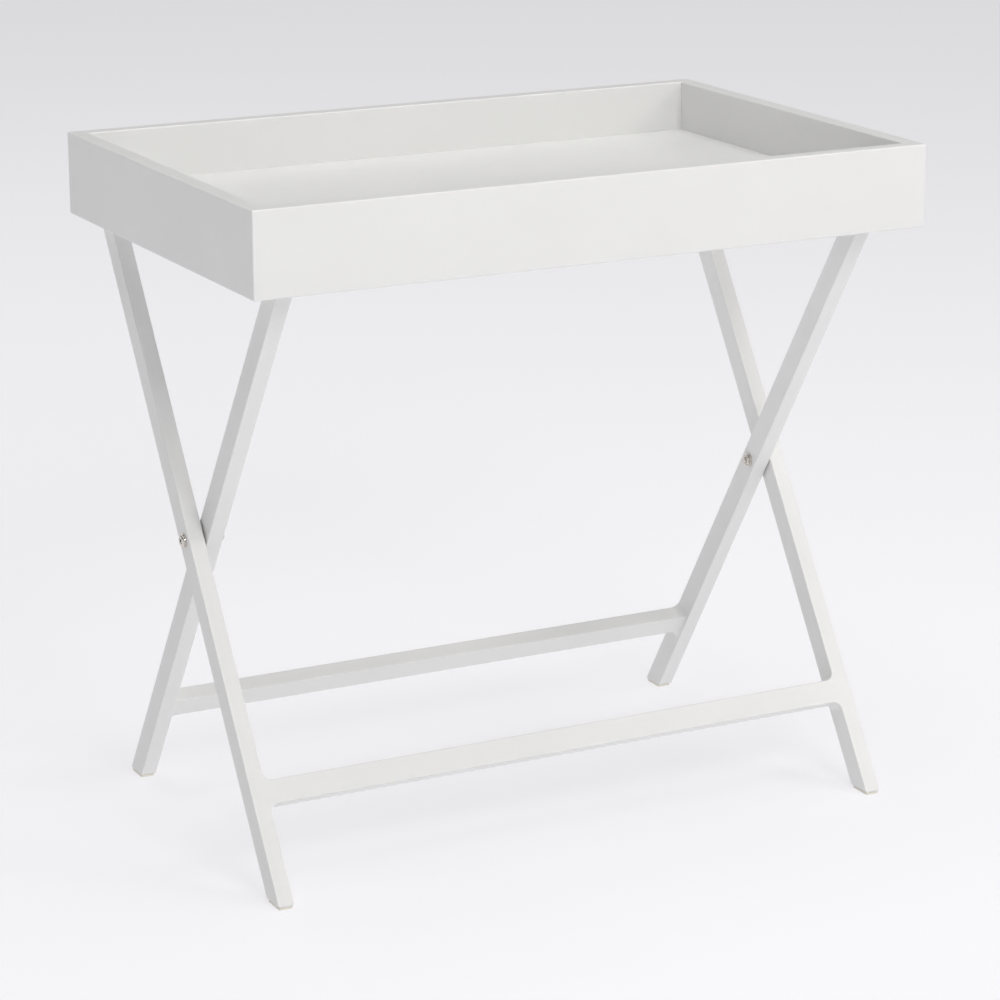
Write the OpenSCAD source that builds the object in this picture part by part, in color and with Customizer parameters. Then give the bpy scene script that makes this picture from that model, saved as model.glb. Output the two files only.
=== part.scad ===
// Folding tray table: a lift-off tray on an X-stand whose two frames fold about a pair of pivot bolts.
// Origin on the floor, under the middle of the tray. +X to the right, +Y to the back, +Z up.

/* [Table] */
// Height of the rim above the floor
table_h = 615; // [480:5:760]

/* [Tray] */
// Width of the tray over its walls
tray_w = 650; // [480:5:800]
// Depth of the tray over its walls
tray_d = 420; // [340:5:520]
// Height of the walls
wall_h = 75; // [60:1:100]
// Thickness of the walls
wall_t = 15; // [12:0.5:20]
// Height of the rim above the tray's floor
rim_h = 47; // [20:1:48]
// Thickness of the bottom panel
panel_t = 6; // [4:0.5:8]
// Thickness of the tongue round the panel's edge
tongue_t = 4; // [2.5:0.5:4]
// Depth of the groove that holds the tongue
groove_d = 5; // [3:0.5:6]
// Thickness of the spline across a mitre
spline_t = 3; // [2:0.5:4]
// Width of the spline, half of it in each wall
spline_w = 10; // [6:0.5:11]
// Height of the spline
spline_h = 28; // [12:1:32]

/* [Stand] */
// Width of a leg, across the table
leg_w = 15; // [12:0.5:20]
// Depth of a leg, square to its length
leg_d = 22; // [18:0.5:28]
// Thickness of a stretcher or rail
bar_t = 15; // [12:0.5:17]
// Height of a stretcher or rail, along the leg
bar_h = 22; // [18:0.5:28]
// Distance from the floor to the middle of a stretcher, along the leg
stretcher_up = 97; // [60:1:140]
// Radius that widens a stretcher into its legs
fillet_r = 8; // [4:0.5:10]
// Radius of the cove on a stretcher's set-back face
cove_r = 6; // [3:0.5:6]
// Thickness of a felt foot pad
pad_t = 2; // [1:0.5:4]
// Distance from a leg's sides to its foot pad
pad_inset = 1; // [0.5:0.5:3]
// Corner radius of a foot pad
pad_r = 2; // [1:0.5:4]
// Diameter of a dowel
dowel_d = 6; // [5:0.5:8]
// Length of a dowel
dowel_l = 25; // [20:1:30]
// Depth that a dowel enters its leg
dowel_in_leg = 10; // [8:0.5:11]
// Distance between the two dowels of a joint
dowel_pitch = 11; // [9:0.5:13]

/* [Pivot] */
// Diameter of a pivot bolt
bolt_d = 6; // [5:0.5:8]
// Diameter of a bolt's head
head_d = 11; // [10:0.5:14]
// Height of a bolt's head
head_h = 2.2; // [2:0.1:4]
// Radius of the head's outer edge
head_r = 1.8; // [1:0.1:1.9]
// Length of a bolt past its nut
bolt_end = 1.6; // [0.6:0.1:4]
// Outer diameter of a washer
washer_d = 13; // [11:0.5:16]
// Thickness of a washer under a head or a nut
washer_t = 1.2; // [1:0.1:2.5]
// Thickness of a washer between two crossing legs
spacer_t = 1.6; // [1:0.1:2.5]
// Width of a nut across its flats
nut_w = 9; // [9:0.5:13]
// Height of a nut
nut_h = 3; // [2.5:0.5:6.5]

/* [Clearances] */
// Gap between a side wall and the stand
side_play = 3; // [1:0.5:6]
// Gap between an end wall and the open stand
end_play = 0.5; // [0.2:0.1:2]
// Gap between a panel, spline or dowel and its groove or hole
glue_play = 0.1; // [0.05:0.05:0.3]
// Radial gap between a bolt and the leg that turns on it
bore_play = 0.06; // [0.02:0.01:0.1]
// Radial gap between a bolt and what it only passes through
hole_play = 0.2; // [0.1:0.05:0.4]
// Side gap between the turning leg and each washer beside it
turn_play = 0.1; // [0.05:0.05:0.3]

/* [Hidden] */
$fn = 96;
skin = 0.4;    // least thickness where a fillet runs out against a leg
over = 1;      // how far a cut runs past the surface that it opens
recess_w = 1.4;    // width of the cross recess in a bolt's head
recess_d = 1.2;    // depth of the cross recess
bolt_chamfer = 0.5;    // chamfer at the end of a bolt
nut_chamfer = 0.6;    // how far down its sides a nut's corners are turned off
nut_inset = 0.25;    // how far inside its flats a nut's turned end face stops

white = [0.90, 0.90, 0.89];
raw_wood = [0.80, 0.68, 0.50];
steel = [0.72, 0.72, 0.70];
felt = [0.90, 0.88, 0.82];

// Heights of the tray
wall_z = table_h - wall_h;
floor_z = table_h - rim_h;
stand_top = floor_z - panel_t;
spline_z = floor_z + (rim_h - spline_h) / 2;

// The legs cross halfway up, and lean until their top corners meet the tray's end walls
pivot_z = stand_top / 2;
rise = stand_top - pivot_z;
reach = tray_d / 2 - wall_t - end_play;
lean = acos(leg_d / 2 / norm([reach, rise])) - atan2(rise, reach);

// Distances along a leg, from the pivot
stretcher_w = stretcher_up - pivot_z / cos(lean);
rail_face_v = leg_d / 2 - bar_t;
rail_top_w = (rise + rail_face_v * sin(lean)) / cos(lean);
rail_w = rail_top_w - bar_h / 2;

// Distances across the table, from its middle
outer_x = tray_w / 2 - wall_t - side_play;
leg_gap = spacer_t + turn_play;
inner_x = outer_x - leg_w - leg_gap;
outer_len = 2 * (outer_x - leg_w);
inner_len = 2 * (inner_x - leg_w);
nut_washer_x = inner_x - leg_w - turn_play - washer_t;
nut_x = nut_washer_x - nut_h;
bolt_x = nut_x - bolt_end;
head_x = outer_x + washer_t;

// ---- Tray ----

// A wall along X whose outer face is at y = -depth / 2, with mitred ends and a groove for the panel
module wall(length, depth) {
    outer = length / 2;
    inner = outer - wall_t;
    translate([0, -depth / 2, 0])
        difference() {
            translate([0, 0, wall_z])
                linear_extrude(wall_h)
                    polygon([[-outer, 0], [outer, 0], [inner, wall_t], [-inner, wall_t]]);
            translate([-outer, wall_t - groove_d - glue_play, stand_top - glue_play])
                cube([length, groove_d + glue_play + over, tongue_t + 2 * glue_play]);
            for (side = [-1, 1])
                translate([side * (outer - wall_t / 2), wall_t / 2, spline_z - glue_play])
                    spline(
                        spline_t + 2 * glue_play, spline_w + 2 * glue_play,
                        spline_h + 2 * glue_play, -side
                    );
        }
}

// An upright strip that crosses a mitre squarely; turn is 1 or -1
module spline(thickness, width, height, turn) {
    rotate([0, 0, turn * 45])
        translate([-width / 2, -thickness / 2, 0])
            cube([width, thickness, height]);
}

module tray_front_wall() {
    color(white) wall(tray_w, tray_d);
}

module tray_back_wall() {
    color(white) rotate([0, 0, 180]) wall(tray_w, tray_d);
}

module tray_right_wall() {
    color(white) rotate([0, 0, 90]) wall(tray_d, tray_w);
}

module tray_left_wall() {
    color(white) rotate([0, 0, -90]) wall(tray_d, tray_w);
}

// The panel fills the space between the walls, and its tongue enters their grooves
module tray_panel() {
    floor_size = [tray_w, tray_d] - 2 * (wall_t + glue_play) * [1, 1];
    tongue_size = [tray_w, tray_d] - 2 * (wall_t - groove_d) * [1, 1];
    color(white)
        translate([0, 0, stand_top]) {
            linear_extrude(panel_t) square(floor_size, center = true);
            linear_extrude(tongue_t) square(tongue_size, center = true);
        }
}

module tray_corner_splines() {
    color(raw_wood)
        for (sx = [-1, 1], sy = [-1, 1])
            translate([sx * (tray_w - wall_t) / 2, sy * (tray_d - wall_t) / 2, spline_z])
                spline(spline_t, spline_w, spline_h, sx * sy);
}

// ---- Frames of the stand ----
// Each frame is drawn as the outer one, with its feet in front. The inner frame is its mirror image.
// In a frame, v runs square to the leg towards the back, and w runs up the leg from the pivot.

module on_frame() {
    translate([0, 0, pivot_z]) rotate([-lean, 0, 0]) children();
}

module to_inner() {
    mirror([0, 1, 0]) children();
}

module to_left() {
    mirror([1, 0, 0]) children();
}

// Depth across the table at offset v of a leg and height z above the floor
function leg_y(v, z) = (z - pivot_z) * tan(lean) + v / cos(lean);

// The point at v and w of a frame, as depth across the table and height above the floor
function at(v, w) = [w * sin(lean) + v * cos(lean), pivot_z + w * cos(lean) - v * sin(lean)];

// A shape in the Y-Z plane, given a thickness along X from x = 0
module along_x(thickness) {
    rotate([90, 0, 90]) linear_extrude(thickness) children();
}

// Cylinder along X from x = from_x to x = to_x
module x_rod(radius, from_x, to_x) {
    translate([from_x, 0, 0]) rotate([0, 90, 0]) cylinder(r = radius, h = to_x - from_x);
}

// Where the dowels enter a right-hand leg: two at the stretcher and two at the top rail
module at_dowels() {
    on_frame()
        for (joint = [[(bar_t - leg_d) / 2, stretcher_w], [(leg_d - bar_t) / 2, rail_w]])
            for (side = [-1, 1])
                translate([0, joint[0], joint[1] + side * dowel_pitch / 2]) children();
}

module dowel_holes(face_x) {
    radius = dowel_d / 2 + glue_play;
    at_dowels()
        x_rod(radius, face_x - dowel_l + dowel_in_leg - over, face_x + dowel_in_leg + glue_play);
}

// Right-hand leg with its outer face at x = face_x and a pivot bore
module leg(face_x, bore_r) {
    half = leg_d / 2;
    difference() {
        translate([face_x - leg_w, 0, 0])
            along_x(leg_w)
                polygon([
                    [leg_y(-half, pad_t), pad_t], [leg_y(half, pad_t), pad_t],
                    [leg_y(half, stand_top), stand_top], [leg_y(-half, stand_top), stand_top]
                ]);
        dowel_holes(face_x - leg_w);
        translate([0, 0, pivot_z]) x_rod(bore_r, face_x - leg_w - over, face_x + over);
    }
}

// The space above a bar between its two fillets, from y = 0 up, open at the top
module hollow(length, radius) {
    flat = length - 2 * skin - 2 * radius;
    translate([-flat / 2, 0]) square([flat, radius + over]);
    translate([-flat / 2 - radius, radius]) square([flat + 2 * radius, over]);
    for (side = [-1, 1])
        translate([side * flat / 2, radius]) circle(r = radius);
}

// Front view of a stretcher: it widens into the legs above and below
module stretcher_front(length) {
    difference() {
        square([length, bar_h + 2 * fillet_r], center = true);
        for (flip = [0, 1])
            mirror([0, flip]) translate([0, bar_h / 2]) hollow(length, fillet_r);
    }
}

// Top view of a stretcher: flush with the legs at y = 0, with coves on its set-back face
module stretcher_top(length) {
    difference() {
        translate([-length / 2, 0]) square([length, bar_t + cove_r]);
        translate([0, bar_t]) hollow(length, cove_r);
    }
}

module stretcher(length) {
    tall = bar_h + 2 * fillet_r;
    difference() {
        on_frame()
            translate([0, -leg_d / 2, stretcher_w])
                intersection() {
                    rotate([-90, 0, 0]) linear_extrude(bar_t + cove_r) stretcher_front(length);
                    translate([0, 0, -tall / 2]) linear_extrude(tall) stretcher_top(length);
                }
        dowel_holes(length / 2);
        to_left() dowel_holes(length / 2);
    }
}

// The top rail lies flush with the legs' upper side, and its top is cut level to carry the tray
module top_rail(length) {
    back_v = leg_d / 2;
    foot_w = rail_w - bar_h / 2;
    difference() {
        translate([-length / 2, 0, 0])
            along_x(length)
                polygon([
                    at(rail_face_v, foot_w), at(back_v, foot_w),
                    [leg_y(back_v, stand_top), stand_top], [leg_y(rail_face_v, stand_top), stand_top]
                ]);
        dowel_holes(length / 2);
        to_left() dowel_holes(length / 2);
    }
}

module dowels(length) {
    radius = dowel_d / 2;
    at_dowels()
        for (flip = [0, 1])
            mirror([flip, 0, 0])
                x_rod(radius, length / 2 - dowel_l + dowel_in_leg, length / 2 + dowel_in_leg);
}

// Right-hand foot pad under a leg whose outer face is at x = face_x
module foot_pad(face_x) {
    size = [leg_w - 2 * pad_inset, leg_d / cos(lean) - 2 * pad_inset];
    translate([face_x - leg_w / 2, leg_y(0, pad_t), 0])
        linear_extrude(pad_t) {
            square([size.x, size.y - 2 * pad_r], center = true);
            square([size.x - 2 * pad_r, size.y], center = true);
            for (sx = [-1, 1], sy = [-1, 1])
                translate([sx * (size.x / 2 - pad_r), sy * (size.y / 2 - pad_r)]) circle(r = pad_r);
        }
}

module outer_right_leg() {
    color(white) leg(outer_x, bolt_d / 2 + hole_play);
}

module outer_left_leg() {
    to_left() outer_right_leg();
}

module outer_stretcher() {
    color(white) stretcher(outer_len);
}

module outer_top_rail() {
    color(white) top_rail(outer_len);
}

module outer_dowels() {
    color(raw_wood) dowels(outer_len);
}

module outer_right_foot_pad() {
    color(felt) foot_pad(outer_x);
}

module outer_left_foot_pad() {
    to_left() outer_right_foot_pad();
}

module inner_right_leg() {
    color(white) to_inner() leg(inner_x, bolt_d / 2 + bore_play);
}

module inner_left_leg() {
    to_left() inner_right_leg();
}

module inner_stretcher() {
    color(white) to_inner() stretcher(inner_len);
}

module inner_top_rail() {
    color(white) to_inner() top_rail(inner_len);
}

module inner_dowels() {
    color(raw_wood) to_inner() dowels(inner_len);
}

module inner_right_foot_pad() {
    color(felt) to_inner() foot_pad(inner_x);
}

module inner_left_foot_pad() {
    to_left() inner_right_foot_pad();
}

// ---- Pivots ----

// Outline of half a bolt's head, seated on y = 0, with its outer edge rounded
module head_outline() {
    intersection() {
        square([head_d / 2, head_h]);
        union() {
            square([head_d / 2 - head_r, head_h]);
            square([head_d / 2, head_h - head_r]);
            translate([head_d / 2 - head_r, head_h - head_r]) circle(r = head_r);
        }
    }
}

// A shape turned about the X axis, from its outline's half; the outline's y runs along +X
module turned_x(from_x) {
    translate([from_x, 0, 0]) rotate([0, 90, 0]) rotate_extrude() children();
}

module right_pivot_bolt() {
    color(steel)
        translate([0, 0, pivot_z])
            difference() {
                union() {
                    turned_x(bolt_x)
                        polygon([
                            [0, 0], [bolt_d / 2 - bolt_chamfer, 0], [bolt_d / 2, bolt_chamfer],
                            [bolt_d / 2, head_x - bolt_x + over], [0, head_x - bolt_x + over]
                        ]);
                    turned_x(head_x) head_outline();
                }
                for (turn = [45, 135])
                    translate([head_x + head_h - recess_d / 2 + over / 2, 0, 0])
                        rotate([turn, 0, 0])
                            cube([recess_d + over, recess_w, head_d / 2], center = true);
            }
}

module left_pivot_bolt() {
    to_left() right_pivot_bolt();
}

// Washer whose inner side is at x = from_x
module washer(from_x, thickness) {
    color(steel)
        translate([0, 0, pivot_z])
            difference() {
                x_rod(washer_d / 2, from_x, from_x + thickness);
                x_rod(bolt_d / 2 + hole_play, from_x - over, from_x + thickness + over);
            }
}

module right_head_washer() {
    washer(outer_x, washer_t);
}

module left_head_washer() {
    to_left() right_head_washer();
}

module right_spacer_washer() {
    washer(outer_x - leg_w - spacer_t, spacer_t);
}

module left_spacer_washer() {
    to_left() right_spacer_washer();
}

module right_nut_washer() {
    washer(nut_washer_x, washer_t);
}

module left_nut_washer() {
    to_left() right_nut_washer();
}

module right_pivot_nut() {
    color(steel)
        translate([0, 0, pivot_z])
            difference() {
                intersection() {
                    translate([nut_x, 0, 0])
                        rotate([0, 90, 0]) cylinder(d = nut_w / cos(30), h = nut_h, $fn = 6);
                    turned_x(nut_x)
                        polygon([
                            [0, 0], [nut_w / 2 - nut_inset, 0], [nut_w / 2 + over, nut_chamfer],
                            [nut_w / 2 + over, nut_h], [0, nut_h]
                        ]);
                }
                x_rod(bolt_d / 2 + bore_play, nut_x - over, nut_x + nut_h + over);
            }
}

module left_pivot_nut() {
    to_left() right_pivot_nut();
}

tray_front_wall();
tray_back_wall();
tray_left_wall();
tray_right_wall();
tray_panel();
tray_corner_splines();
outer_left_leg();
outer_right_leg();
outer_stretcher();
outer_top_rail();
outer_dowels();
outer_left_foot_pad();
outer_right_foot_pad();
inner_left_leg();
inner_right_leg();
inner_stretcher();
inner_top_rail();
inner_dowels();
inner_left_foot_pad();
inner_right_foot_pad();
left_pivot_bolt();
left_head_washer();
left_spacer_washer();
left_nut_washer();
left_pivot_nut();
right_pivot_bolt();
right_head_washer();
right_spacer_washer();
right_nut_washer();
right_pivot_nut();
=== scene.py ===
# Looks of the folding tray table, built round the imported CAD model, in metres.
# The tray's walls and panel, the legs and the stretchers are built again, with softened arrises
# and joints that are sanded flush under the paint. Every other node keeps its CAD shape, with
# eased edges.

import math

import bmesh
import bpy
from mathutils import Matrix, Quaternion, Vector


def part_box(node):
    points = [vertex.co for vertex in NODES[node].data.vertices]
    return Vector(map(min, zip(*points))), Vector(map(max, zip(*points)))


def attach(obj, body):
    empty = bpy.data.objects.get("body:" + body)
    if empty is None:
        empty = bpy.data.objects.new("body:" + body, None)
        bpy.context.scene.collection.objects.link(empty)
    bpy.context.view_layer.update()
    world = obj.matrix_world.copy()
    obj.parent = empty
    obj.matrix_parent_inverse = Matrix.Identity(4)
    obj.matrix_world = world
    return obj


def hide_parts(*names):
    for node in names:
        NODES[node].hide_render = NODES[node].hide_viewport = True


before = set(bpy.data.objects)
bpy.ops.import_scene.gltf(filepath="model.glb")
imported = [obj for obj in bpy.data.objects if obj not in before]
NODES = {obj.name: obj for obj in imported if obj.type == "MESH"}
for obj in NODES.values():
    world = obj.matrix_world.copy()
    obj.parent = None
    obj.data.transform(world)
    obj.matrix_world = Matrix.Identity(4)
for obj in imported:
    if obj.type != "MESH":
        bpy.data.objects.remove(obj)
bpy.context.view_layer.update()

# ---- Sizes ----

MM = 0.001
LEG_DEPTH = 22 * MM      # depth of a leg, square to its length
BAR_DEPTH = 15 * MM      # depth of a stretcher
BAR_HEIGHT = 22 * MM     # height of a stretcher, along the leg
FILLET_R = 8 * MM        # where a stretcher widens into its legs, above and below
COVE_R = 6 * MM          # where its set-back face runs into them
OUTER_BORE_R = 3.2 * MM  # a bolt only passes through an outer leg
INNER_BORE_R = 3.06 * MM  # an inner leg turns on its bolt
BITE = 2 * MM            # how far a stretcher is drawn into its legs before they become one
SEAM = 0.05 * MM         # a stretcher's own piece ends this far from its legs
TONGUE = 4 * MM          # thickness of the tongue round the panel's edge
GLUE_GAP = 0.1 * MM      # round whatever is glued into a groove or hole
OVER = 1 * MM            # how far a cut runs past the surface that it opens
WELD_DISTANCE = 0.001 * MM  # points nearer than this are one point
ON_PLANE = 0.0001 * MM   # a point this near a cutting plane lies on it
LEVEL = 0.01 * MM        # heights and places nearer than this are the same

WALL_ARRIS = 1.4 * MM
LEG_ARRIS = 0.9 * MM
FOOT_ARRIS = 2 * MM
ARRIS_STEPS = 4
ARC_STEPS = 18           # in a quarter turn
SHARP = math.radians(30)

wall_low, wall_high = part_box("tray_front_wall")
WALL = wall_high.y - wall_low.y
tray_low = Vector((wall_low.x, wall_low.y, wall_low.z))
tray_high = Vector((wall_high.x, -wall_low.y, wall_high.z))

leg_low, leg_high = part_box("outer_right_leg")
bolt_low, bolt_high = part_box("right_pivot_bolt")
PIVOT_Z = (bolt_low.z + bolt_high.z) / 2

# A leg leans until its top corner is at leg_high, as seen from the pivot
rise, reach = leg_high.z - PIVOT_Z, leg_high.y
LEAN = math.acos(LEG_DEPTH / 2 / math.hypot(reach, rise)) - math.atan2(rise, reach)


# ---- Mesh tools ----

def new_object(name, bm):
    bmesh.ops.recalc_face_normals(bm, faces=bm.faces)
    mesh = bpy.data.meshes.new(name)
    bm.to_mesh(mesh)
    bm.free()
    made = bpy.data.objects.new(name, mesh)
    bpy.context.scene.collection.objects.link(made)
    return made


def prism(name, near, far):
    """A closed solid between two rings of points that match one to one."""
    bm = bmesh.new()
    rings = [[bm.verts.new(p) for p in ring] for ring in (near, far)]
    count = len(near)
    for i in range(count):
        j = (i + 1) % count
        bm.faces.new((rings[0][i], rings[0][j], rings[1][j], rings[1][i]))
    for ring in rings:
        bm.faces.new(ring)
    return new_object(name, bm)


def block(name, low, high):
    corners = [(low[0], low[1]), (high[0], low[1]), (high[0], high[1]), (low[0], high[1])]
    return prism(name, [(x, y, low[2]) for x, y in corners], [(x, y, high[2]) for x, y in corners])


def rod(name, radius, from_x, to_x, steps=64):
    """A rod along X through the pivot."""
    turns = [2 * math.pi * i / steps for i in range(steps)]
    ring = [(radius * math.cos(t), PIVOT_Z + radius * math.sin(t)) for t in turns]
    return prism(name, [(from_x, y, z) for y, z in ring], [(to_x, y, z) for y, z in ring])


def discard(made):
    mesh = made.data
    bpy.data.objects.remove(made)
    bpy.data.meshes.remove(mesh)


def apply_modifiers(made):
    """Puts the result of an object's modifiers into its mesh."""
    graph = bpy.context.evaluated_depsgraph_get()
    old = made.data
    made.data = bpy.data.meshes.new_from_object(made.evaluated_get(graph))
    made.modifiers.clear()
    bpy.data.meshes.remove(old)
    return made


def combine(made, tool, operation):
    """Boolean of two closed solids. The tool is used up."""
    cut = made.modifiers.new("combine", "BOOLEAN")
    cut.operation = operation
    cut.solver = "MANIFOLD"
    cut.object = tool
    apply_modifiers(made)
    discard(tool)
    return made


def tidy(made):
    """Joins what is flat into whole faces, so that the edges left are real ones."""
    bm = bmesh.new()
    bm.from_mesh(made.data)
    bmesh.ops.remove_doubles(bm, verts=bm.verts, dist=WELD_DISTANCE)
    bmesh.ops.dissolve_limit(bm, angle_limit=math.radians(0.3), verts=bm.verts, edges=bm.edges)
    bm.to_mesh(made.data)
    bm.free()


def soften(made, width, weight_of):
    """Rounds the edges over to a radius. weight_of(edge) is from 0 to 1, as a share of width."""
    tidy(made)
    bm = bmesh.new()
    bm.from_mesh(made.data)
    layer = bm.edges.layers.float.new("bevel_weight_edge")
    for edge in bm.edges:
        edge[layer] = weight_of(edge)
    bm.to_mesh(made.data)
    bm.free()
    ease = made.modifiers.new("soften", "BEVEL")
    ease.limit_method = "WEIGHT"
    ease.width = width
    ease.segments = ARRIS_STEPS
    ease.use_clamp_overlap = False
    apply_modifiers(made)


def part_of(made, name, planes):
    """The part of a solid on the inner side of every plane, each a point and an outward normal."""
    bm = bmesh.new()
    bm.from_mesh(made.data)
    for point, normal in planes:
        bmesh.ops.bisect_plane(
            bm, geom=[*bm.verts, *bm.edges, *bm.faces], dist=ON_PLANE,
            plane_co=point, plane_no=normal, clear_outer=True,
        )
        rim = [e for e in bm.edges if e.is_boundary]
        bmesh.ops.holes_fill(bm, edges=rim, sides=0)
    return new_object(name, bm)


def grown(node, gap):
    """A copy of a CAD node that stands proud by gap all over, to cut the space that it fits."""
    bm = bmesh.new()
    bm.from_mesh(NODES[node].data)
    bmesh.ops.remove_doubles(bm, verts=bm.verts, dist=WELD_DISTANCE)
    bm.normal_update()
    moves = {}
    for v in bm.verts:
        sides = []
        for face in v.link_faces:
            if all(face.normal.dot(other) < 0.99 for other in sides):
                sides.append(face.normal.copy())
        moves[v] = sum(sides, Vector()) * gap
    for v, move in moves.items():
        v.co += move
    return new_object(node + "_space", bm)


def finish_surface(made):
    """Smooth shading that leaves flat faces flat and sharp edges sharp."""
    made.data.shade_smooth()
    made.data.set_sharp_from_angle(angle=SHARP)
    even = made.modifiers.new("flat_faces_stay_flat", "WEIGHTED_NORMAL")
    even.keep_sharp = True


# ---- Materials ----

def shader(name):
    made = bpy.data.materials.new(name)
    made.use_nodes = True
    return made, made.node_tree.nodes, made.node_tree.links, made.node_tree.nodes["Principled BSDF"]


def noise(nodes, links, where, scale, detail=4.0, rough=0.5):
    made = nodes.new("ShaderNodeTexNoise")
    made.inputs["Scale"].default_value = scale
    made.inputs["Detail"].default_value = detail
    made.inputs["Roughness"].default_value = rough
    links.new(where, made.inputs["Vector"])
    return made.outputs["Fac"]


def spread(nodes, links, value, low, high):
    """Maps the middle of a noise to the range from low to high."""
    made = nodes.new("ShaderNodeMapRange")
    made.inputs["From Min"].default_value = 0.3
    made.inputs["From Max"].default_value = 0.7
    made.inputs["To Min"].default_value = low
    made.inputs["To Max"].default_value = high
    links.new(value, made.inputs["Value"])
    return made.outputs["Result"]


def tone(nodes, links, value, dark, light):
    """A colour between dark and light."""
    made = nodes.new("ShaderNodeMix")
    made.data_type = "RGBA"
    made.inputs["A"].default_value = (*dark, 1)
    made.inputs["B"].default_value = (*light, 1)
    links.new(value, made.inputs["Factor"])
    return made.outputs["Result"]


def add_bump(nodes, links, value, height, before=None):
    """A bump of the given height. It builds on the one before."""
    made = nodes.new("ShaderNodeBump")
    made.inputs["Strength"].default_value = 1.0
    made.inputs["Distance"].default_value = height
    links.new(value, made.inputs["Height"])
    if before:
        links.new(before, made.inputs["Normal"])
    return made.outputs["Normal"]


def surface_place(nodes, links, turn=(0, 0, 0), stretch=(1, 1, 1)):
    """Object coordinates, turned and then stretched, so that a grain can follow its piece."""
    where = nodes.new("ShaderNodeTexCoord").outputs["Object"]
    turned = nodes.new("ShaderNodeMapping")
    turned.inputs["Rotation"].default_value = turn
    links.new(where, turned.inputs["Vector"])
    made = nodes.new("ShaderNodeMapping")
    made.inputs["Scale"].default_value = stretch
    links.new(turned.outputs["Vector"], made.inputs["Vector"])
    return made.outputs["Vector"]


def white_lacquer(name, turn, stretch):
    """Satin white lacquer, sprayed on wood: fine orange peel over a trace of the grain."""
    made, nodes, links, skin = shader(name)
    plain = surface_place(nodes, links)
    along = surface_place(nodes, links, turn, stretch)
    cloud = spread(nodes, links, noise(nodes, links, plain, 9, 3), 0, 1)
    links.new(
        tone(nodes, links, cloud, (0.776, 0.776, 0.767), (0.804, 0.802, 0.796)),
        skin.inputs["Base Color"],
    )
    gloss = spread(nodes, links, noise(nodes, links, plain, 60, 3), 0.34, 0.42)
    links.new(gloss, skin.inputs["Roughness"])
    skin.inputs["IOR"].default_value = 1.5
    skin.inputs["Coat Weight"].default_value = 0.15
    skin.inputs["Coat Roughness"].default_value = 0.3
    grain = add_bump(nodes, links, noise(nodes, links, along, 420, 5, 0.6), 0.00002)
    peel = add_bump(nodes, links, noise(nodes, links, plain, 700, 2), 0.00002, grain)
    links.new(peel, skin.inputs["Normal"])
    return made


def nickel(name, turned):
    """Bright nickel plate, with fine marks from the lathe or the press."""
    made, nodes, links, skin = shader(name)
    plain = surface_place(nodes, links)
    fine = surface_place(nodes, links, stretch=(1, 0.08, 0.08) if turned else (1, 1, 1))
    cloud = spread(nodes, links, noise(nodes, links, plain, 900, 4), 0, 1)
    links.new(
        tone(nodes, links, cloud, (0.58, 0.55, 0.51), (0.72, 0.69, 0.65)),
        skin.inputs["Base Color"],
    )
    skin.inputs["Metallic"].default_value = 1.0
    gloss = spread(nodes, links, noise(nodes, links, plain, 1500, 3), 0.08, 0.20)
    links.new(gloss, skin.inputs["Roughness"])
    marks = add_bump(nodes, links, noise(nodes, links, fine, 6000, 3), 0.00002)
    links.new(marks, skin.inputs["Normal"])
    return made


def cream_felt():
    """Pressed felt: matt, soft at the edges, with fibres lying every way."""
    made, nodes, links, skin = shader("cream_felt")
    plain = surface_place(nodes, links)
    fibre = noise(nodes, links, plain, 2600, 6, 0.7)
    links.new(
        tone(nodes, links, fibre, (0.70, 0.66, 0.56), (0.90, 0.87, 0.79)),
        skin.inputs["Base Color"],
    )
    skin.inputs["Roughness"].default_value = 0.95
    skin.inputs["Sheen Weight"].default_value = 0.4
    skin.inputs["Sheen Roughness"].default_value = 0.6
    links.new(add_bump(nodes, links, fibre, 0.0002), skin.inputs["Normal"])
    return made


def bare_beech(name, stretch):
    """Unpainted beech, with short dark flecks along the grain."""
    made, nodes, links, skin = shader(name)
    along = surface_place(nodes, links, stretch=stretch)
    rings = noise(nodes, links, along, 260, 4, 0.6)
    links.new(
        tone(nodes, links, rings, (0.60, 0.42, 0.25), (0.80, 0.62, 0.42)),
        skin.inputs["Base Color"],
    )
    links.new(spread(nodes, links, rings, 0.75, 0.6), skin.inputs["Roughness"])
    links.new(add_bump(nodes, links, rings, 0.0001), skin.inputs["Normal"])
    return made


GRAIN = 0.06    # how much finer the grain is across than along
lacquer_x = white_lacquer("lacquer_grain_x", (0, 0, 0), (GRAIN, 1, 1))
lacquer_y = white_lacquer("lacquer_grain_y", (0, 0, 0), (1, GRAIN, 1))
lacquer_outer = white_lacquer("lacquer_grain_outer", (LEAN, 0, 0), (1, 1, GRAIN))
lacquer_inner = white_lacquer("lacquer_grain_inner", (-LEAN, 0, 0), (1, 1, GRAIN))
turned_nickel = nickel("turned_nickel", True)
pressed_nickel = nickel("pressed_nickel", False)
felt = cream_felt()
beech_x = bare_beech("beech_grain_x", (GRAIN, 1, 1))
beech_z = bare_beech("beech_grain_z", (1, 1, GRAIN))


def paint(made, material):
    made.data.materials.clear()
    made.data.materials.append(material)


# ---- Tray ----

def outer_corner(edge):
    """The four upright arrises at the tray's corners."""
    a, b = (v.co for v in edge.verts)
    at_corner = abs(abs(a.x) - tray_high.x) < LEVEL and abs(abs(a.y) - tray_high.y) < LEVEL
    return at_corner and abs(a.z - b.z) > OVER


def rim_edge(edge):
    """The arrises that run round the walls, above and below, outside and inside."""
    a, b = (v.co for v in edge.verts)
    return abs(a.z - b.z) < LEVEL and edge.calc_face_angle(0) > SHARP


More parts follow.
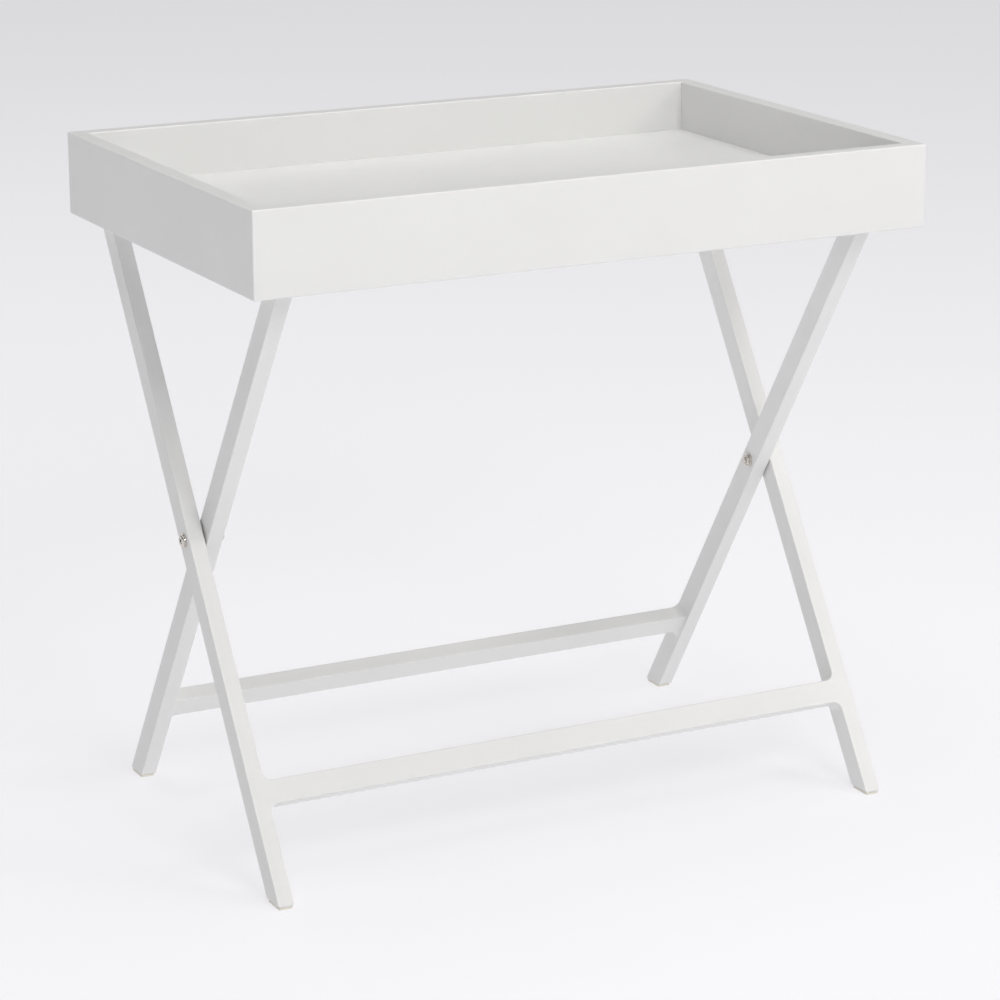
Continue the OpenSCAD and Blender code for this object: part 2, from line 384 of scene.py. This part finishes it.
def build_panel():
    """The panel and its tongue. Its top runs right up to the walls, where paint fills the joint."""
    low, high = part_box("tray_panel")
    inner = Vector((tray_high.x - WALL, tray_high.y - WALL, 0))
    panel = block("panel", (-inner.x, -inner.y, low.z), (inner.x, inner.y, high.z))
    tongue = block("tongue", (low.x, low.y, low.z), (high.x, high.y, low.z + TONGUE))
    combine(panel, tongue, "UNION")
    tidy(panel)
    finish_surface(panel)
    paint(panel, lacquer_x)
    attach(panel, "tray")
    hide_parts("tray_panel")


def build_walls():
    ring = block("ring", tray_low, tray_high)
    well_low = (tray_low.x + WALL, tray_low.y + WALL, tray_low.z - OVER)
    well_high = (tray_high.x - WALL, tray_high.y - WALL, tray_high.z + OVER)
    combine(ring, block("well", well_low, well_high), "DIFFERENCE")
    soften(ring, WALL_ARRIS, lambda e: 1.0 if rim_edge(e) or outer_corner(e) else 0.0)
    combine(ring, grown("tray_panel", GLUE_GAP), "DIFFERENCE")
    combine(ring, grown("tray_corner_splines", GLUE_GAP), "DIFFERENCE")
    corner = Vector((tray_high.x, tray_high.y, 0))
    for name, side_x, side_y in (
        ("front", 0, -1), ("back", 0, 1), ("left", -1, 0), ("right", 1, 0),
    ):
        planes = []
        for turn in (-1, 1):
            out_x, out_y = side_x or turn, side_y or turn
            normal = Vector((out_x, -out_y, 0)) if side_y else Vector((-out_x, out_y, 0))
            planes.append((Vector((corner.x * out_x, corner.y * out_y, 0)), normal))
        wall = part_of(ring, f"{name}_wall", planes)
        finish_surface(wall)
        paint(wall, lacquer_x if side_y else lacquer_y)
        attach(wall, "tray")
        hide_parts(f"tray_{name}_wall")
    discard(ring)


# ---- Stand ----
# In a frame, x runs across the table, v square to the legs and w up them, from the pivot.

def place(x, v, w, side):
    """A frame's point in the table. side is 1 for the outer frame and -1 for its mirror image."""
    y = v * math.cos(LEAN) + w * math.sin(LEAN)
    return Vector((x, side * y, PIVOT_Z - v * math.sin(LEAN) + w * math.cos(LEAN)))


def leg_w(v, z):
    """How far up the leg height z is, at v."""
    return (z - PIVOT_Z + v * math.sin(LEAN)) / math.cos(LEAN)


def flared(half, start, radius):
    """Half of a bar's outline, from right to left: it widens by radius into both of its legs."""
    turns = [-math.pi / 2 * i / ARC_STEPS for i in range(ARC_STEPS + 1)]
    right = [(half - radius + radius * math.cos(t), start + radius + radius * math.sin(t)) for t in turns]
    left = [(-x, y) for x, y in reversed(right)]
    return [(half + BITE, start + radius), *right, *left, (-half - BITE, start + radius)]


def draw_stretcher(half, middle_w, side):
    """A stretcher: its front view and its top view, each drawn right through, and what they share."""
    tall = BAR_HEIGHT / 2 + FILLET_R
    front, back = -LEG_DEPTH / 2, -LEG_DEPTH / 2 + BAR_DEPTH
    upper = flared(half, BAR_HEIGHT / 2, FILLET_R)
    outline = upper + [(x, -w) for x, w in reversed(upper)]
    bar = prism(
        "bar",
        [place(x, front, middle_w + w, side) for x, w in outline],
        [place(x, back + COVE_R, middle_w + w, side) for x, w in outline],
    )
    outline = flared(half, back, COVE_R) + [(-half - BITE, front), (half + BITE, front)]
    plan = prism(
        "plan",
        [place(x, v, middle_w - tall, side) for x, v in outline],
        [place(x, v, middle_w + tall, side) for x, v in outline],
    )
    return combine(bar, plan, "INTERSECT")


def draw_leg(node, side):
    low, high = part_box(node)
    half = LEG_DEPTH / 2
    outline = [(v, leg_w(v, z)) for v, z in (
        (-half, low.z), (half, low.z), (half, high.z), (-half, high.z),
    )]
    return prism(
        "leg",
        [place(low.x, v, w, side) for v, w in outline],
        [place(high.x, v, w, side) for v, w in outline],
    )


def arris_weight(edge):
    """Foot edges are rounded most. An arris fades away where its two faces run together."""
    angle = edge.calc_face_angle_signed(0)
    if all(abs(v.co.z - leg_low.z) < LEVEL for v in edge.verts):
        return 1.0
    return LEG_ARRIS / FOOT_ARRIS * min(1.0, max(0.0, angle - SHARP / 2) / SHARP)


def build_frame(frame_name, side, bore_r, material):
    stretcher = f"{frame_name}_stretcher"
    low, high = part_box(stretcher)
    middle_w = side * (low.y + high.y) / 2 * math.sin(LEAN)
    middle_w += ((low.z + high.z) / 2 - PIVOT_Z) * math.cos(LEAN)
    inner_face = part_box(f"{frame_name}_right_leg")[0].x
    whole = draw_leg(f"{frame_name}_right_leg", side)
    combine(whole, draw_leg(f"{frame_name}_left_leg", side), "UNION")
    combine(whole, draw_stretcher(inner_face, middle_w, side), "UNION")
    soften(whole, FOOT_ARRIS, arris_weight)
    cut = inner_face - SEAM
    pieces = {
        "left_leg": [((-cut, 0, 0), (1, 0, 0))],
        "stretcher": [((-cut, 0, 0), (-1, 0, 0)), ((cut, 0, 0), (1, 0, 0))],
        "right_leg": [((cut, 0, 0), (-1, 0, 0))],
    }
    for name, planes in pieces.items():
        piece = part_of(whole, f"{frame_name}_{name}_painted", planes)
        combine(piece, grown(f"{frame_name}_dowels", GLUE_GAP), "DIFFERENCE")
        if name != "stretcher":
            low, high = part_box(f"{frame_name}_{name}")
            combine(piece, rod("bore", bore_r, low.x - OVER, high.x + OVER), "DIFFERENCE")
        finish_surface(piece)
        paint(piece, lacquer_x if name == "stretcher" else material)
        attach(piece, f"{frame_name}_frame")
        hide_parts(f"{frame_name}_{name}")
    discard(whole)


# ---- Nodes that keep their CAD shape ----

def ease_node(node, material, width, steps=2):
    """Eases a CAD node's edges with modifiers alone, so that its own mesh stays as it is."""
    made = NODES[node]
    weld = made.modifiers.new("weld", "WELD")
    weld.merge_threshold = WELD_DISTANCE
    ease = made.modifiers.new("ease", "BEVEL")
    ease.limit_method = "ANGLE"
    ease.angle_limit = SHARP
    ease.width = width
    ease.segments = steps
    made.data.shade_smooth()
    even = made.modifiers.new("flat_faces_stay_flat", "WEIGHTED_NORMAL")
    even.keep_sharp = True
    paint(made, material)


def dress_nodes():
    ease_node("tray_corner_splines", beech_z, 0.1 * MM)
    for frame_name in ("outer", "inner"):
        ease_node(f"{frame_name}_top_rail", lacquer_x, LEG_ARRIS, ARRIS_STEPS)
        ease_node(f"{frame_name}_dowels", beech_x, 0.3 * MM)
        for hand in ("left", "right"):
            ease_node(f"{frame_name}_{hand}_foot_pad", felt, 0.4 * MM, 3)
    for hand in ("left", "right"):
        ease_node(f"{hand}_pivot_bolt", turned_nickel, 0.1 * MM)
        ease_node(f"{hand}_pivot_nut", pressed_nickel, 0.15 * MM)
        for washer in ("head", "spacer", "nut"):
            ease_node(f"{hand}_{washer}_washer", pressed_nickel, 0.25 * MM)


# ---- Floor, light and camera ----

FLOOR_GLOW = 0.63        # a lit floor, as in a studio, throws soft light up under the table
ROOM_LIGHT = 0.16
HORIZON_LIGHT = 0.85     # a pale room beyond the floor
HORIZON_TOP = 0.14       # where it ends, as the height of a direction one long
MIDDLE = Vector((0, 0, 0.35))    # where every lamp points
FLOOR_REACH = 20         # from the middle to each side


def build_floor():
    bm = bmesh.new()
    bm.faces.new([bm.verts.new((x * FLOOR_REACH, y * FLOOR_REACH, 0)) for x, y in (
        (-1, -1), (1, -1), (1, 1), (-1, 1),
    )])
    floor = new_object("floor", bm)
    if floor.data.polygons[0].normal.z < 0:
        floor.data.flip_normals()
    made, nodes, links, skin = shader("pale_floor")
    skin.inputs["Base Color"].default_value = (0.35, 0.35, 0.35, 1)
    skin.inputs["Roughness"].default_value = 0.9
    skin.inputs["Specular IOR Level"].default_value = 0.1
    skin.inputs["Emission Color"].default_value = (0.975, 0.965, 1, 1)
    skin.inputs["Emission Strength"].default_value = FLOOR_GLOW
    floor.data.materials.append(made)


def soft_light(name, azimuth, elevation, distance, width, height, power, colour):
    """A large soft lamp that faces the table. Azimuth 0 is in front of it and 90 to its right."""
    around, up = math.radians(azimuth), math.radians(elevation)
    away = Vector((math.sin(around) * math.cos(up), -math.cos(around) * math.cos(up), math.sin(up)))
    lamp = bpy.data.lights.new(name, "AREA")
    lamp.shape = "RECTANGLE"
    lamp.size, lamp.size_y = width, height
    lamp.energy = power
    lamp.color = colour
    made = bpy.data.objects.new(name, lamp)
    made.location = MIDDLE + away * distance
    made.rotation_mode = "QUATERNION"
    made.rotation_quaternion = (-away).to_track_quat("-Z", "Y")
    made.visible_camera = False
    bpy.context.scene.collection.objects.link(made)


def build_light():
    room = bpy.data.worlds.new("room")
    room.use_nodes = True
    nodes, links = room.node_tree.nodes, room.node_tree.links
    toward = nodes.new("ShaderNodeTexCoord")
    split = nodes.new("ShaderNodeSeparateXYZ")
    links.new(toward.outputs["Generated"], split.inputs["Vector"])
    fade = nodes.new("ShaderNodeMapRange")
    fade.inputs["From Min"].default_value = HORIZON_TOP / 2
    fade.inputs["From Max"].default_value = HORIZON_TOP
    fade.inputs["To Min"].default_value = HORIZON_LIGHT
    fade.inputs["To Max"].default_value = ROOM_LIGHT
    links.new(split.outputs["Z"], fade.inputs["Value"])
    nodes["Background"].inputs["Color"].default_value = (1, 1, 1, 1)
    links.new(fade.outputs["Result"], nodes["Background"].inputs["Strength"])
    bpy.context.scene.world = room
    soft_light("front_light", 0, 33, 4.2, 1.5, 1.3, 54, (1, 0.995, 0.99))
    soft_light("front_right_light", 50, 33, 4.2, 1.5, 1.3, 34, (1, 0.985, 0.93))
    soft_light("top_light", 0, 88, 3.6, 3.2, 3.2, 66, (1, 1, 1))
    soft_light("left_light", -80, 12, 4.0, 1.6, 1.4, 8, (1, 0.98, 0.98))
    soft_light("right_light", 80, 25, 4.0, 1.6, 1.4, 8, (0.9, 0.9, 1))
    soft_light("back_light", 198, 30, 4.0, 2.2, 1.4, 14, (1, 1, 1))


def build_camera():
    lens = bpy.data.cameras.new("camera")
    lens.lens = 124.6
    lens.sensor_width = 36
    made = bpy.data.objects.new("camera", lens)
    made.location = (-1.4045, -2.7319, 1.1517)
    aim = Vector((0.0030, -0.0082, 0.2792)) - made.location
    made.rotation_mode = "QUATERNION"
    roll = Quaternion((0, 0, 1), math.radians(-0.15))
    made.rotation_quaternion = aim.to_track_quat("-Z", "Y") @ roll
    bpy.context.scene.collection.objects.link(made)
    bpy.context.scene.camera = made


build_panel()
build_walls()
build_frame("outer", 1, OUTER_BORE_R, lacquer_outer)
build_frame("inner", -1, INNER_BORE_R, lacquer_inner)
dress_nodes()
build_floor()
build_light()
build_camera()
bpy.context.scene.view_settings.view_transform = "Standard"
